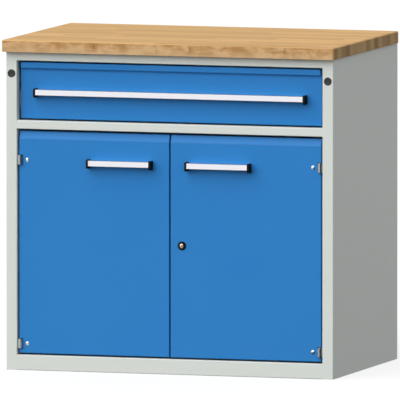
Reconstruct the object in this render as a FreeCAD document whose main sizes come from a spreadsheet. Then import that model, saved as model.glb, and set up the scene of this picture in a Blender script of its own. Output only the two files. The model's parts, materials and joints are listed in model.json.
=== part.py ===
"""Counter cabinet: folded steel body, beech worktop, drawer on telescopic runners and two hinged doors.

The origin lies on the floor under the middle of the cabinet, +Z is up and the fronts face -Y.
Left-hand pieces are drawn first; their right-hand partners are mirrored from them.
"""
import os
import re

import FreeCAD
import Part
import Sketcher

# Driving dimensions in millimetres.
SIZES = {
    # Folded steel body.
    "body_width": 1000,
    "body_depth": 650,
    "body_height": 935,
    "sheet": 1.5,
    "bend_radius": 2.5,
    "seam": 0.5,
    "fit": 0.05,
    # Worktop block.
    "worktop_thickness": 35,
    "worktop_side_overhang": 7,
    "worktop_front_overhang": 20,
    "worktop_setback": 15,
    "worktop_arris": 3,
    # Posts and rails.
    "post_width": 33,
    "post_return": 32,
    "post_lip": 15,
    "rear_flange": 25,
    "top_rail_height": 26,
    "drawer_opening": 175.5,
    "middle_rail_height": 25,
    "bottom_rail_height": 45,
    "rail_flange": 30,
    "screw_flange": 48,
    "drip_flange": 15,
    "rail_foot": 20,
    "rear_rail_flange": 60,
    "rear_rail_height": 40,
    "base_depth": 25,
    # Screws that hold the worktop down.
    "wood_screw_radius": 2.5,
    "wood_screw_head_radius": 6,
    "wood_screw_head_height": 3,
    "wood_screw_bite": 25,
    "wood_screw_margin": 67,
    "wood_screw_inset": 32,
    # Plugs in the posts.
    "plug_drop": 64,
    "plug_head_radius": 12,
    "plug_head_height": 1.5,
    "plug_stem_radius": 9.5,
    "plug_stem_length": 8,
    # Shelf and what carries it.
    "shelf_depth": 25,
    "shelf_front_gap": 70,
    "shelf_back_gap": 7,
    "shelf_side_gap": 1.5,
    "upright_depth": 12,
    "upright_width": 25,
    "upright_inset": 45,
    "upright_low": 80,
    "upright_length": 560,
    "slot_margin": 25,
    "slot_pitch": 50,
    "slot_height": 12,
    "slot_width": 8,
    "clip_width": 16,
    "clip_sheet": 2,
    "clip_leg": 18,
    "clip_tongue": 20,
    "clip_hook": 3,
    "clip_rise": 2,
    "clip_play": 0.3,
    # Drawer.
    "drawer_gap_below": 4.5,
    "drawer_gap_above": 5,
    "side_gap": 5,
    "drawer_side_gap": 6.5,
    "drawer_recess": 18.5,
    "lip_projection": 9,
    "lip_height": 18,
    "lip_end_gap": 3,
    "front_flange": 10,
    "tray_rise": 10,
    "tray_height": 120,
    "tray_length": 560,
    "tray_rim": 8,
    # Telescopic runners.
    "runner_gap": 13,
    "runner_length": 550,
    "runner_height": 45,
    "runner_rise": 42,
    "runner_sheet": 1.5,
    "runner_lip": 3,
    "runner_play": 0.3,
    "bracket_height": 60,
    # Doors.
    "door_recess": 6,
    "door_depth": 20,
    "door_gap_below": 5,
    "door_gap_above": 6.5,
    "centre_gap": 4,
    "bevel_height": 22,
    "bevel_back": 8,
    "door_edge_round": 2,
    "door_lip": 14,
    "stiffener_width": 30,
    "stiffener_flange": 15,
    "stiffener_depth": 13,
    "stiffener_gap": 38,
    # Handles.
    "handle_projection": 25,
    "handle_height": 17.5,
    "handle_wall": 2.2,
    "label_depth": 0.8,
    "label_edge": 1,
    "cap_width": 7,
    "cap_rise": 2,
    "cap_drop": 7,
    "cap_round": 4,
    "door_handle_length": 198,
    "door_handle_offset": 150.5,
    "door_handle_drop": 88,
    "drawer_handle_margin": 45,
    "drawer_handle_rise": 79,
    "door_screw_spread": 50,
    "drawer_screw_margin": 113,
    "screw_radius": 2,
    "screw_head_radius": 4,
    "screw_head_height": 2.6,
    # Hinges.
    "hinge_rise": 28,
    "hinge_drop": 84.5,
    "hinge_setback": 4.4,
    "hinge_height": 26,
    "hinge_middle": 10,
    "hinge_play": 0.25,
    "knuckle_radius": 7.8,
    "knuckle_gap": 0.4,
    "pin_radius": 4,
    "pin_overhang": 1,
    "leaf_sheet": 2,
    "frame_leaf_length": 15.7,
    "door_leaf_length": 34.3,
    "notch_play": 0.8,
    "hinge_screw_offset": 25,
    "hinge_screw_radius": 2.5,
    "hinge_screw_head_radius": 6,
    "hinge_screw_head_height": 2.4,
    # Cylinder lock.
    "lock_inset": 35,
    "lock_rise": 328,
    "rosette_radius": 13,
    "rosette_height": 3,
    "rosette_chamfer": 1.2,
    "barrel_radius": 9.5,
    "barrel_overhang": 1.5,
    "plug_radius": 6.2,
    "plug_proud": 0.4,
    "keyway_width": 1.4,
    "keyway_height": 7,
    "keyway_depth": 8,
    "nut_radius": 14,
    "nut_height": 4,
    "cam_gap": 2,
    "cam_sheet": 3,
    "cam_width": 16,
    "cam_reach": 52,
    "tail_radius": 4,
    "tail_head_radius": 5.5,
    "tail_head_height": 1.5,
    # Shoot bolt of the left door.
    "bolt_inset": 28,
    "bolt_radius": 3.5,
    "bolt_length": 150,
    "bolt_hole_play": 0.5,
    "bolt_knob_drop": 76,
    "bolt_knob_reach": 10,
    "guide_width": 24,
    "guide_height": 12,
    "guide_drop_upper": 40,
    "guide_drop_lower": 110,
}

# How many of each repeated thing.
SLOTS = 11
SHELF_SLOT = SLOTS // 2
TAIL_SIDES = 4
NUT_SIDES = 6
SCREW_SIDES = 8
PIN_SIDES = 12
BORE_SIDES = 16

# Places and sizes that follow from the driving dimensions.
DERIVED = {
    "half": "body_width / 2",
    "front": "(worktop_front_overhang - body_depth) / 2",
    "back": "front + body_depth",
    "inner": "half - sheet",
    "opening": "half - post_width",
    "return_back": "front + post_return",
    "runner_front": "return_back + seam",
    "back_sheet": "back - 2 * sheet",
    "post_middle": "half - post_width / 2",
    "plug_height": "body_height - plug_drop",
    "top_rail_low": "body_height - top_rail_height",
    "middle_rail_top": "top_rail_low - drawer_opening",
    "middle_rail_low": "middle_rail_top - middle_rail_height",
    "screw_seat": "body_height - sheet",
    "wood_screw_spread": "opening - wood_screw_margin",
    "shelf_front": "front + shelf_front_gap",
    "shelf_back": "back_sheet - shelf_back_gap",
    "upright_face": "inner - upright_depth",
    "upright_near": "shelf_front + upright_inset",
    "upright_far": "shelf_back - upright_inset - upright_width",
    "slot_side": "(upright_width - slot_width) / 2",
    "first_slot": "upright_low + slot_margin",
    "shelf_slot_top": f"first_slot + {SHELF_SLOT} * slot_pitch + slot_height",
    "shelf_low": "shelf_slot_top + clip_rise",
    "shelf_half": "upright_face - shelf_side_gap",
    "drawer_face": "front + drawer_recess",
    "drawer_low": "middle_rail_top + drawer_gap_below",
    "drawer_top": "top_rail_low - drawer_gap_above",
    "drawer_outer": "opening - drawer_side_gap",
    "lip_face": "drawer_face - lip_projection",
    "lip_low": "drawer_top - lip_height",
    "tray_low": "drawer_low + tray_rise",
    "tray_top": "tray_low + tray_height",
    "tray_half": "opening - runner_gap",
    "tray_front": "drawer_face + sheet",
    "tray_back": "tray_front + tray_length",
    "runner_middle": "tray_low + runner_rise",
    "runner_back": "runner_front + runner_length",
    "cabinet_rail_half": "runner_height / 2",
    "middle_rail_half": "cabinet_rail_half - runner_sheet - runner_play",
    "drawer_foot_half": "middle_rail_half - runner_sheet - runner_play",
    "drawer_rail_half": "middle_rail_half - runner_sheet - runner_lip - runner_play",
    "cabinet_rail_tip": "tray_half + runner_play",
    "middle_member_web": "opening - runner_sheet - runner_play",
    "middle_member_tip": "cabinet_rail_tip + runner_sheet + runner_play",
    "drawer_member_foot": "middle_member_web - runner_sheet - runner_play",
    "door_face": "front + door_recess",
    "door_inside": "door_face + sheet",
    "door_rear": "door_face + door_depth",
    "door_low": "bottom_rail_height + door_gap_below",
    "door_top": "middle_rail_low - door_gap_above",
    "door_outer": "opening - side_gap",
    "door_inner": "centre_gap / 2",
    "bevel_low": "door_top - bevel_height",
    "leaf_end": "hinge_x - door_leaf_length",
    "stiffener_half": "stiffener_width / 2 + stiffener_flange",
    "stiffener_place": "leaf_end - stiffener_gap - stiffener_half",
    "door_handle_height": "door_top - door_handle_drop",
    "drawer_handle_height": "drawer_low + drawer_handle_rise",
    "drawer_handle_length": "2 * (drawer_outer - drawer_handle_margin)",
    "drawer_screw_spread": "drawer_handle_length / 2 - drawer_screw_margin",
    "hinge_low": "door_low + hinge_rise",
    "hinge_high": "door_top - hinge_drop",
    "hinge_x": "opening - knuckle_gap - knuckle_radius",
    "hinge_y": "front + hinge_setback",
    "frame_leaf_front": "hinge_y + knuckle_radius + knuckle_gap",
    "notch_end": "hinge_x - knuckle_radius - notch_play",
    "notch_back": "hinge_y + knuckle_radius + notch_play",
    "notch_half": "hinge_height / 2 + pin_overhang + notch_play",
    "hinge_screw_x": "door_outer - hinge_screw_offset",
    "lock_x": "door_inner + lock_inset",
    "lock_z": "door_low + lock_rise",
    "barrel_back": "door_rear + barrel_overhang",
    "cam_front": "door_rear + cam_gap",
    "cam_back": "cam_front + cam_sheet",
    "bolt_x": "door_inner + bolt_inset",
    "bolt_y": "(door_inside + bevel_back + door_rear - sheet) / 2",
    "bolt_top": "door_top - sheet - seam",
}

PLANES = {"X": "YZ_Plane", "Y": "XZ_Plane", "Z": "XY_Plane"}
CLOSE = 1e-4
KNOWN = set(SIZES) | set(DERIVED)

doc = FreeCAD.newDocument("counter_cabinet")
sheet = doc.addObject("Spreadsheet::Sheet", "Sizes")
nodes = []


def fill_sheet():
    """Writes every size and every derived place into the sheet under its own name."""
    cells = [(name, str(value)) for name, value in SIZES.items()]
    cells += [(name, f"={formula}") for name, formula in DERIVED.items()]
    for row, (name, text) in enumerate(cells, 1):
        sheet.set(f"A{row}", name)
        sheet.set(f"B{row}", text)
        sheet.setAlias(f"B{row}", name)
    doc.recompute()


def bind(text):
    """Puts the sheet's name before every size that an expression uses."""
    return re.sub(r"[a-z][a-z_]*", lambda word: f"Sizes.{word[0]}" if word[0] in KNOWN else word[0], text)


def number(text):
    """The present value of an expression."""
    return float(sheet.evalExpression(bind(text)))


def new_body(label):
    """Starts an empty body under the name of its sub-part."""
    body = doc.addObject("PartDesign::Body", label)
    body.Label = label
    return body


def node(thing):
    """Adds a finished sub-part to those that are written out."""
    nodes.append(thing)
    return thing


def mirror(label, source):
    """Makes a right-hand sub-part from its left-hand partner."""
    copy = doc.addObject("Part::Mirroring", label)
    copy.Label = label
    copy.Source = source
    copy.Base = FreeCAD.Vector(0, 0, 0)
    copy.Normal = FreeCAD.Vector(1, 0, 0)
    return node(copy)


def group(label, source):
    """Makes one sub-part of left-hand pieces and their mirror images."""
    copy = doc.addObject("Part::Mirroring", f"{label}_mirrored")
    copy.Source = source
    copy.Base = FreeCAD.Vector(0, 0, 0)
    copy.Normal = FreeCAD.Vector(1, 0, 0)
    both = doc.addObject("Part::Compound", label)
    both.Label = label
    both.Links = [source, copy]
    return node(both)


def pin_point(sketch, geometry, point, place):
    """Ties a point of a sketch to the two expressions of its place."""
    for kind, text in zip(("DistanceX", "DistanceY"), place):
        constraint = Sketcher.Constraint(kind, -1, 1, geometry, point, number(text))
        index = sketch.addConstraint(constraint)
        sketch.setExpression(f"Constraints[{index}]", bind(text))


def draw_polygon(sketch, corners):
    """Draws a closed outline through its corners."""
    first = sketch.GeometryCount
    points = [FreeCAD.Vector(number(u), number(v), 0) for u, v in corners]
    for start, end in zip(points, points[1:] + points[:1]):
        sketch.addGeometry(Part.LineSegment(start, end))
    count = len(corners)
    for step in range(count):
        following = first + (step + 1) % count
        sketch.addConstraint(Sketcher.Constraint("Coincident", first + step, 2, following, 1))
    for step, corner in enumerate(corners):
        pin_point(sketch, first + step, 1, corner)


def draw_circle(sketch, centre, radius):
    """Draws a circle about its centre."""
    middle = FreeCAD.Vector(number(centre[0]), number(centre[1]), 0)
    index = sketch.addGeometry(Part.Circle(middle, FreeCAD.Vector(0, 0, 1), number(radius)))
    pin_point(sketch, index, 3, centre)
    constraint = sketch.addConstraint(Sketcher.Constraint("Radius", index, number(radius)))
    sketch.setExpression(f"Constraints[{constraint}]", bind(radius))


def prism(body, axis, low, high, outlines=(), circles=(), cut=False):
    """Adds or cuts a prism along an axis, between two places on it."""
    sketch = body.newObject("Sketcher::SketchObject", "Sketch")
    plane = next(item for item in body.Origin.OriginFeatures if item.Role == PLANES[axis])
    sketch.AttachmentSupport = [(plane, "")]
    sketch.MapMode = "FlatFace"
    start = f"-({high})" if axis == "Y" else low
    sketch.setExpression(".AttachmentOffset.Base.z", bind(start))
    for corners in outlines:
        draw_polygon(sketch, corners)
    for centre, radius in circles:
        draw_circle(sketch, centre, radius)
    feature = body.newObject("PartDesign::Pocket" if cut else "PartDesign::Pad", "Prism")
    feature.Profile = sketch
    feature.Reversed = cut
    feature.setExpression("Length", bind(f"({high}) - ({low})"))
    body.Tip = feature
    return feature


def across(point, axis):
    """The two coordinates of a point that lie across an axis."""
    x, y, z = point
    return {"X": (y, z), "Y": (x, z), "Z": (x, y)}[axis]


def lies_at(point, places):
    """Whether a pair of coordinates is one of the places."""
    return any(abs(point[0] - u) < CLOSE and abs(point[1] - v) < CLOSE for u, v in places)


def dress_edges(body, kind, size_name, size, chosen):
    """Rounds or chamfers the chosen edges of a body's last feature."""
    doc.recompute()
    base = body.Tip
    names = [f"Edge{index}" for index, edge in enumerate(base.Shape.Edges, 1) if chosen(edge)]
    feature = body.newObject(f"PartDesign::{kind}", kind)
    feature.Base = (base, names)
    feature.setExpression(size_name, bind(size))
    body.Tip = feature


def fillet(body, radius, chosen):
    """Rounds the chosen edges of a body's last feature."""
    dress_edges(body, "Fillet", "Radius", radius, chosen)


def round_edges(body, axis, corners, radius):
    """Rounds the straight edges that run along an axis through the given corners."""
    places = [(number(u), number(v)) for u, v in corners]

    def chosen(edge):
        ends = [across(vertex.Point, axis) for vertex in edge.Vertexes]
        return len(ends) == 2 and all(lies_at(end, places) for end in ends) and lies_at(ends[0], [ends[1]])

    fillet(body, radius, chosen)


def ease_rims(body, rim_radius, chamfer, axis, place):
    """Chamfers the circular edges of one radius that lie at a place on an axis."""
    size = number(rim_radius)
    level = number(place)
    index = "XYZ".index(axis)

    def chosen(edge):
        is_rim = isinstance(edge.Curve, Part.Circle) and abs(edge.Curve.Radius - size) < CLOSE
        return is_rim and abs(edge.Curve.Center[index] - level) < CLOSE

    dress_edges(body, "Chamfer", "Size", chamfer, chosen)


def box_outline(left, low, right, high):
    """The four corners of an upright rectangle."""
    return [(left, low), (right, low), (right, high), (left, high)]


def regular_outline(centre, radius, sides):
    """The corners of a regular polygon about its centre."""
    turn = 360 / sides
    u, v = centre
    return [
        (f"{u} + ({radius}) * cos({turn * step})", f"{v} + ({radius}) * sin({turn * step})")
        for step in range(sides)
    ]


def screw_outlines(places, radius):
    """Shanks, heads or holes of a row of screws."""
    return [regular_outline(place, radius, SCREW_SIDES) for place in places]


def side_panels():
    """Side sheets folded at the front into the posts and at the back into a narrow flange."""
    body = new_body("left_side_panel")
    lip_end = "-opening - post_lip"
    outline = [
        ("-half + rear_flange", "back"),
        ("-half", "back"),
        ("-half", "front"),
        ("-opening", "front"),
        ("-opening", "return_back"),
        (lip_end, "return_back"),
        (lip_end, "return_back - sheet"),
        ("-opening - sheet", "return_back - sheet"),
        ("-opening - sheet", "front + sheet"),
        ("-inner", "front + sheet"),
        ("-inner", "back - sheet"),
        ("-half + rear_flange", "back - sheet"),
    ]
    prism(body, "Z", "0", "body_height", [outline])
    round_edges(body, "Z", outline[1:5], "bend_radius")
    round_edges(body, "Z", outline[7:11], "bend_radius - sheet")
    plug_holes = screw_outlines([("-post_middle", "plug_height")], "plug_stem_radius + fit")
    prism(body, "Y", "front", "front + sheet", plug_holes, cut=True)
    node(body)
    mirror("right_side_panel", body)


def back_panel():
    """Flat rear sheet, welded inside the rear flanges."""
    body = node(new_body("back_panel"))
    width = "inner - (bend_radius - sheet) - seam"
    outline = box_outline(f"-({width})", "seam", width, "body_height - seam")
    prism(body, "Y", "back_sheet", "back - sheet", [outline])


def turned_down_tray(label, half_width, near, far, low, top):
    """A flat sheet with its four edges turned down."""
    body = node(new_body(label))
    prism(body, "Z", low, top, [box_outline(f"-({half_width})", near, half_width, far)])
    round_edges(body, "X", [(near, top), (far, top)], "bend_radius")
    hollow = box_outline(
        f"-({half_width}) + sheet", f"({near}) + sheet", f"({half_width}) - sheet", f"({far}) - sheet"
    )
    prism(body, "Z", low, f"({top}) - sheet", [hollow], cut=True)
    return body


def rail(label, half_width, outline, bends):
    """A folded rail across the cabinet, with its outer bends rounded."""
    body = node(new_body(label))
    prism(body, "X", f"-({half_width})", half_width, [outline])
    round_edges(body, "X", bends, "bend_radius")
    return body


def channel_outline(low, top, top_flange, low_flange):
    """Section of a front rail: a face with a flange turned back at its top and its bottom."""
    return [
        ("front", low),
        ("front", top),
        (f"front + {top_flange}", top),
        (f"front + {top_flange}", f"{top} - sheet"),
        ("front + sheet", f"{top} - sheet"),
        ("front + sheet", f"{low} + sheet"),
        (f"front + {low_flange}", f"{low} + sheet"),
        (f"front + {low_flange}", low),
    ]


def worktop_screw_places():
    """Screws through the top front rail and the top rear rail."""
    columns = ("-wood_screw_spread", "wood_screw_spread")
    rows = ("front + wood_screw_inset", "back_sheet - wood_screw_inset")
    return [(column, row) for row in rows for column in columns]


def frame():
    """Rails, cupboard floor, worktop and the screws that hold the worktop."""
    outline = channel_outline("0", "bottom_rail_height", "post_return", "rail_foot")
    rail("bottom_rail", "opening", outline, outline[:2])

    outline = channel_outline("middle_rail_low", "middle_rail_top", "rail_flange", "rail_flange")
    middle = rail("middle_rail", "opening", outline, outline[:2])
    bolt_hole = (("-bolt_x", "bolt_y"), "bolt_radius + bolt_hole_play")
    prism(middle, "Z", "middle_rail_low", "middle_rail_low + sheet", circles=[bolt_hole], cut=True)

    places = worktop_screw_places()
    screw_holes = screw_outlines(places, "wood_screw_radius + fit")
    outline = channel_outline("top_rail_low", "body_height", "screw_flange", "drip_flange")
    top_front = rail("top_front_rail", "opening", outline, outline[:2])
    prism(top_front, "Z", "screw_seat", "body_height", screw_holes[:2], cut=True)

    rear_low = "body_height - rear_rail_height"
    rear_edge = "back_sheet - rear_rail_flange"
    outline = [
        ("back_sheet", rear_low),
        ("back_sheet", "body_height"),
        (rear_edge, "body_height"),
        (rear_edge, "screw_seat"),
        ("back_sheet - sheet", "screw_seat"),
        ("back_sheet - sheet", rear_low),
    ]
    top_rear = rail("top_rear_rail", "inner", outline, outline[1:2])
    prism(top_rear, "Z", "screw_seat", "body_height", screw_holes[2:], cut=True)

    floor_low = "bottom_rail_height - base_depth"
    turned_down_tray("base_panel", "inner", "runner_front", "back_sheet", floor_low, "bottom_rail_height")

    worktop = node(new_body("worktop"))
    side = "half + worktop_side_overhang"
    near = "front - worktop_front_overhang"
    far = "back - worktop_setback"
    block_top = "body_height + worktop_thickness"
    prism(worktop, "Z", "body_height", block_top, [box_outline(f"-({side})", near, side, far)])
    seat = number("body_height")
    dress_edges(worktop, "Chamfer", "Size", "worktop_arris", lambda edge: edge.BoundBox.ZMax > seat + CLOSE)
    prism(worktop, "Z", "body_height", "body_height + wood_screw_bite", screw_holes, cut=True)

    screws = node(new_body("worktop_screws"))
    shanks = screw_outlines(places, "wood_screw_radius")
    prism(screws, "Z", "screw_seat", "body_height + wood_screw_bite", shanks)
    heads = screw_outlines(places, "wood_screw_head_radius")
    prism(screws, "Z", "screw_seat - wood_screw_head_height", "screw_seat", heads)


def post_plugs():
    """Round plastic plugs pressed into the posts."""
    body = node(new_body("post_plugs"))
    places = [("-post_middle", "plug_height"), ("post_middle", "plug_height")]
    face = "front - plug_head_height"
    prism(body, "Y", face, "front", circles=[(place, "plug_head_radius") for place in places])
    ease_rims(body, "plug_head_radius", "plug_head_height * 2 / 3", "Y", face)
    stems = screw_outlines(places, "plug_stem_radius")
    prism(body, "Y", "front", "front + plug_stem_length", stems)


def shelving():
    """Shelf on clips that hook into slotted uprights."""
    shelf_top = "shelf_low + shelf_depth"
    turned_down_tray("shelf", "shelf_half", "shelf_front", "shelf_back", "shelf_low", shelf_top)

    uprights = new_body("left_hand_uprights")
    outlines = [upright_outline(near) for near in ("upright_near", "upright_far")]
    prism(uprights, "Z", "upright_low", "upright_low + upright_length", outlines)
    slots = [slot_outline(near, "first_slot") for near in ("upright_near", "upright_far")]
    slot = prism(uprights, "X", "-upright_face - sheet", "-upright_face", slots, cut=True)
    row = uprights.newObject("PartDesign::LinearPattern", "SlotRow")
    row.Originals = [slot]
    upward = next(item for item in uprights.Origin.OriginFeatures if item.Role == "Z_Axis")
    row.Direction = (upward, [""])
    row.Mode = "Spacing"
    row.setExpression("Offset", bind("slot_pitch"))
    row.Occurrences = SLOTS
    uprights.Tip = row
    group("shelf_uprights", uprights)

    clips = new_body("left_hand_clips")
    for near in ("upright_near", "upright_far"):
        middle = f"{near} + upright_width / 2"
        prism(clips, "Y", f"{middle} - clip_width / 2", f"{middle} + clip_width / 2", [clip_outline()])
        hook_low = "shelf_slot_top - slot_height / 2"
        hook_high = "shelf_slot_top - fit"
        hook = box_outline("-upright_face - clip_hook", hook_low, "-upright_face", hook_high)
        half_hook = "slot_width / 2 - clip_play"
        prism(clips, "Y", f"{middle} - ({half_hook})", f"{middle} + {half_hook}", [hook])
    group("shelf_clips", clips)


def upright_outline(near):
    """Section of a shelf upright: a channel with its web toward the cupboard."""
    far = f"{near} + upright_width"
    return [
        ("-inner", near),
        ("-upright_face", near),
        ("-upright_face", far),
        ("-inner", far),
        ("-inner", f"{far} - sheet"),
        ("-upright_face - sheet", f"{far} - sheet"),
        ("-upright_face - sheet", f"{near} + sheet"),
        ("-inner", f"{near} + sheet"),
    ]


def slot_outline(near, low):
    """One slot in the web of a shelf upright."""
    return box_outline(f"{near} + slot_side", low, f"{near} + slot_side + slot_width", f"{low} + slot_height")


def clip_outline():
    """Section of a shelf clip: a leg against the upright and a tongue under the shelf."""
    low = "shelf_low - clip_leg"
    tongue_end = "-upright_face + clip_tongue"
    return [
        ("-upright_face", low),
        ("-upright_face + clip_sheet", low),
        ("-upright_face + clip_sheet", "shelf_low - clip_sheet"),
        (tongue_end, "shelf_low - clip_sheet"),
        (tongue_end, "shelf_low"),
        ("-upright_face", "shelf_low"),
    ]


def lipped_channel(web, tip, half_height):
    """Section of a runner member: a channel open toward the drawer, with its flange tips turned in."""
    outline = []
    for sign in ("-", "+"):
        inward = "+" if sign == "-" else "-"
        edge = f"runner_middle {sign} {half_height}"
        wall = f"{edge} {inward} runner_sheet"
        lip = f"{wall} {inward} runner_lip"
        outer = [(f"-{web}", edge), (f"-{tip}", edge), (f"-{tip}", lip)]
        inner = [
            (f"-{tip} - runner_sheet", lip),
            (f"-{tip} - runner_sheet", wall),
            (f"-{web} + runner_sheet", wall),
        ]
        half = outer + inner
        outline += half if sign == "-" else half[::-1]
    return outline


def drawer_member():
    """Section of the runner member on the drawer: a hat whose feet run behind the middle member's lips."""
    outline = []
    for sign in ("-", "+"):
        inward = "+" if sign == "-" else "-"
        foot = f"runner_middle {sign} drawer_foot_half"
        edge = f"runner_middle {sign} drawer_rail_half"
        wall = f"{edge} {inward} runner_sheet"
        half = [
            ("-tray_half - runner_sheet", wall),
            ("-drawer_member_foot", wall),
            ("-drawer_member_foot", foot),
            ("-drawer_member_foot + runner_sheet", foot),
            ("-drawer_member_foot + runner_sheet", edge),
            ("-tray_half", edge),
        ]
        outline += half if sign == "-" else half[::-1]
    return outline


def runners():
    """Brackets and telescopic runners of three nested members, one set on each side of the drawer."""
    low = "runner_middle - bracket_height / 2"
    top = "runner_middle + bracket_height / 2"
    bracket = [
        ("-inner", low),
        ("-opening", low),
        ("-opening", top),
        ("-inner", top),
        ("-inner", f"{top} - sheet"),
        ("-opening - sheet", f"{top} - sheet"),
        ("-opening - sheet", f"{low} + sheet"),
        ("-inner", f"{low} + sheet"),
    ]
    members = {
        "runner_bracket": bracket,
        "runner_cabinet_rail": lipped_channel("opening", "cabinet_rail_tip", "cabinet_rail_half"),
        "runner_middle_rail": lipped_channel("middle_member_web", "middle_member_tip", "middle_rail_half"),
        "runner_drawer_rail": drawer_member(),
    }
    for name, outline in members.items():
        body = new_body(f"left_{name}")
        prism(body, "Y", "runner_front", "runner_back", [outline])
        node(body)
        mirror(f"right_{name}", body)


def drawer():
    """Drawer box of welded sheets, its folded front and the proud lip along the top of the front."""
    inside = "tray_half - sheet"
    floor = node(new_body("drawer_floor"))
    plate = box_outline(f"-({inside})", "tray_front + sheet", inside, "tray_back - sheet")
    prism(floor, "Z", "tray_low", "tray_low + sheet", [plate])

    side = new_body("drawer_left_side")
    outline = [
        ("-tray_half", "tray_low"),
        (f"-({inside})", "tray_low"),
        (f"-({inside})", "tray_top - sheet"),
        ("-tray_half + tray_rim", "tray_top - sheet"),
        ("-tray_half + tray_rim", "tray_top"),
        ("-tray_half", "tray_top"),
    ]
    prism(side, "Y", "tray_front", "tray_back", [outline])
    node(side)
    mirror("drawer_right_side", side)

    screw_holes = screw_outlines(drawer_screw_places(), "screw_radius + fit")
    walls = {
        "drawer_front_wall": ("tray_front", "tray_front + sheet", "tray_front", "tray_front + tray_rim"),
        "drawer_back_wall": ("tray_back - sheet", "tray_back", "tray_back - tray_rim", "tray_back"),
    }
    for name, (near, far, rim_near, rim_far) in walls.items():
        wall = node(new_body(name))
        web = box_outline(f"-({inside})", "tray_low", inside, "tray_top - sheet")
        prism(wall, "Y", near, far, [web])
        rim = box_outline("-tray_half + tray_rim", "tray_top - sheet", "tray_half - tray_rim", "tray_top")
        prism(wall, "Y", rim_near, rim_far, [rim])
        if name == "drawer_front_wall":
            prism(wall, "Y", near, far, screw_holes, cut=True)

    front = node(new_body("drawer_front"))
    face = box_outline("-drawer_outer", "drawer_low", "drawer_outer", "drawer_top")
    prism(front, "Y", "drawer_face", "drawer_face + front_flange", [face])
    bends = [("drawer_face", "drawer_low"), ("drawer_face", "drawer_top")]
    round_edges(front, "X", bends, "bend_radius")
    hollow = box_outline(
        "-drawer_outer + sheet", "drawer_low + sheet", "drawer_outer - sheet", "drawer_top - sheet"
    )
    prism(front, "Y", "drawer_face + sheet", "drawer_face + front_flange", [hollow], cut=True)
    prism(front, "Y", "drawer_face", "drawer_face + sheet", screw_holes, cut=True)

    lip = node(new_body("drawer_lip"))
    outline = box_outline("lip_face", "lip_low", "drawer_face", "drawer_top")
    lip_outer = "drawer_outer - lip_end_gap"
    prism(lip, "X", f"-({lip_outer})", lip_outer, [outline])
    round_edges(lip, "X", [outline[0], outline[3]], "bend_radius")
    hollow = box_outline("lip_face + sheet", "lip_low + sheet", "drawer_face", "drawer_top - sheet")
    prism(lip, "X", f"-({lip_outer}) + sheet", f"{lip_outer} - sheet", [hollow], cut=True)


def drawer_screw_places():
    """Screws through the tray and the drawer front into the handle."""
    columns = ("-drawer_screw_spread", "0", "drawer_screw_spread")
    return [(column, "drawer_handle_height") for column in columns]


def door_screw_places():
    """Screws through a door's front into its handle."""
    columns = ("-door_handle_offset - door_screw_spread", "-door_handle_offset + door_screw_spread")
    return [(column, "door_handle_height") for column in columns]


def handle_pieces(prefix, face, centre, height, length, screw_places, screw_stack):
    """A handle: aluminium strip hooked over at the front, label, end caps and screws from behind."""
    top = f"{height} + handle_height / 2"
    low = f"{height} - handle_height / 2"
    nose = f"{face} - handle_projection"
    start = f"{centre} - {length} / 2"
    end = f"{centre} + {length} / 2"

    bar = new_body(f"{prefix}_handle_bar")
    back_low = f"{low} + label_edge"
    outline = [
        (face, back_low),
        (face, top),
        (nose, top),
        (nose, f"{top} - label_edge"),
        (f"{nose} + label_depth", f"{top} - label_edge"),
        (f"{nose} + label_depth", f"{low} + label_edge"),
        (nose, f"{low} + label_edge"),
        (nose, low),
        (f"{nose} + handle_wall", low),
        (f"{nose} + handle_wall", f"{top} - handle_wall"),
        (f"{face} - handle_wall", f"{top} - handle_wall"),
        (f"{face} - handle_wall", back_low),
    ]
    prism(bar, "X", f"{start} + cap_width", f"{end} - cap_width", [outline])
    holes = screw_outlines(screw_places, "screw_radius + fit")
    prism(bar, "Y", f"{face} - handle_wall", face, holes, cut=True)

    label = new_body(f"{prefix}_handle_label")
    strip = box_outline(
        f"{nose} + fit", f"{low} + label_edge", f"{nose} + label_depth", f"{top} - label_edge"
    )
    prism(label, "X", f"{start} + cap_width", f"{end} - cap_width", [strip])

    caps = new_body(f"{prefix}_handle_caps")
    side = box_outline(nose, f"{low} - cap_drop", face, f"{top} + cap_rise")
    prism(caps, "X", start, f"{start} + cap_width", [side])
    prism(caps, "X", f"{end} - cap_width", end, [side])
    round_edges(caps, "X", [side[0], side[3]], "cap_round")

    screws = new_body(f"{prefix}_handle_screws")
    seat = f"{face} + {screw_stack}"
    shanks = screw_outlines(screw_places, "screw_radius")
    prism(screws, "Y", f"{face} - handle_wall", seat, shanks)
    heads = screw_outlines(screw_places, "screw_head_radius")
    prism(screws, "Y", seat, f"{seat} + screw_head_height", heads)
    return [bar, label, caps, screws]


def round_front(body):
    """Rounds the upright front edges of a door piece and the bottom one of the whole door."""
    slope_end = number("door_face + bevel_back")
    bottom = number("door_low")

    def chosen(edge):
        box = edge.BoundBox
        return box.YMax < slope_end + CLOSE and (box.XLength < CLOSE or box.ZMax < bottom + CLOSE)

    fillet(body, "door_edge_round", chosen)


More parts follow.
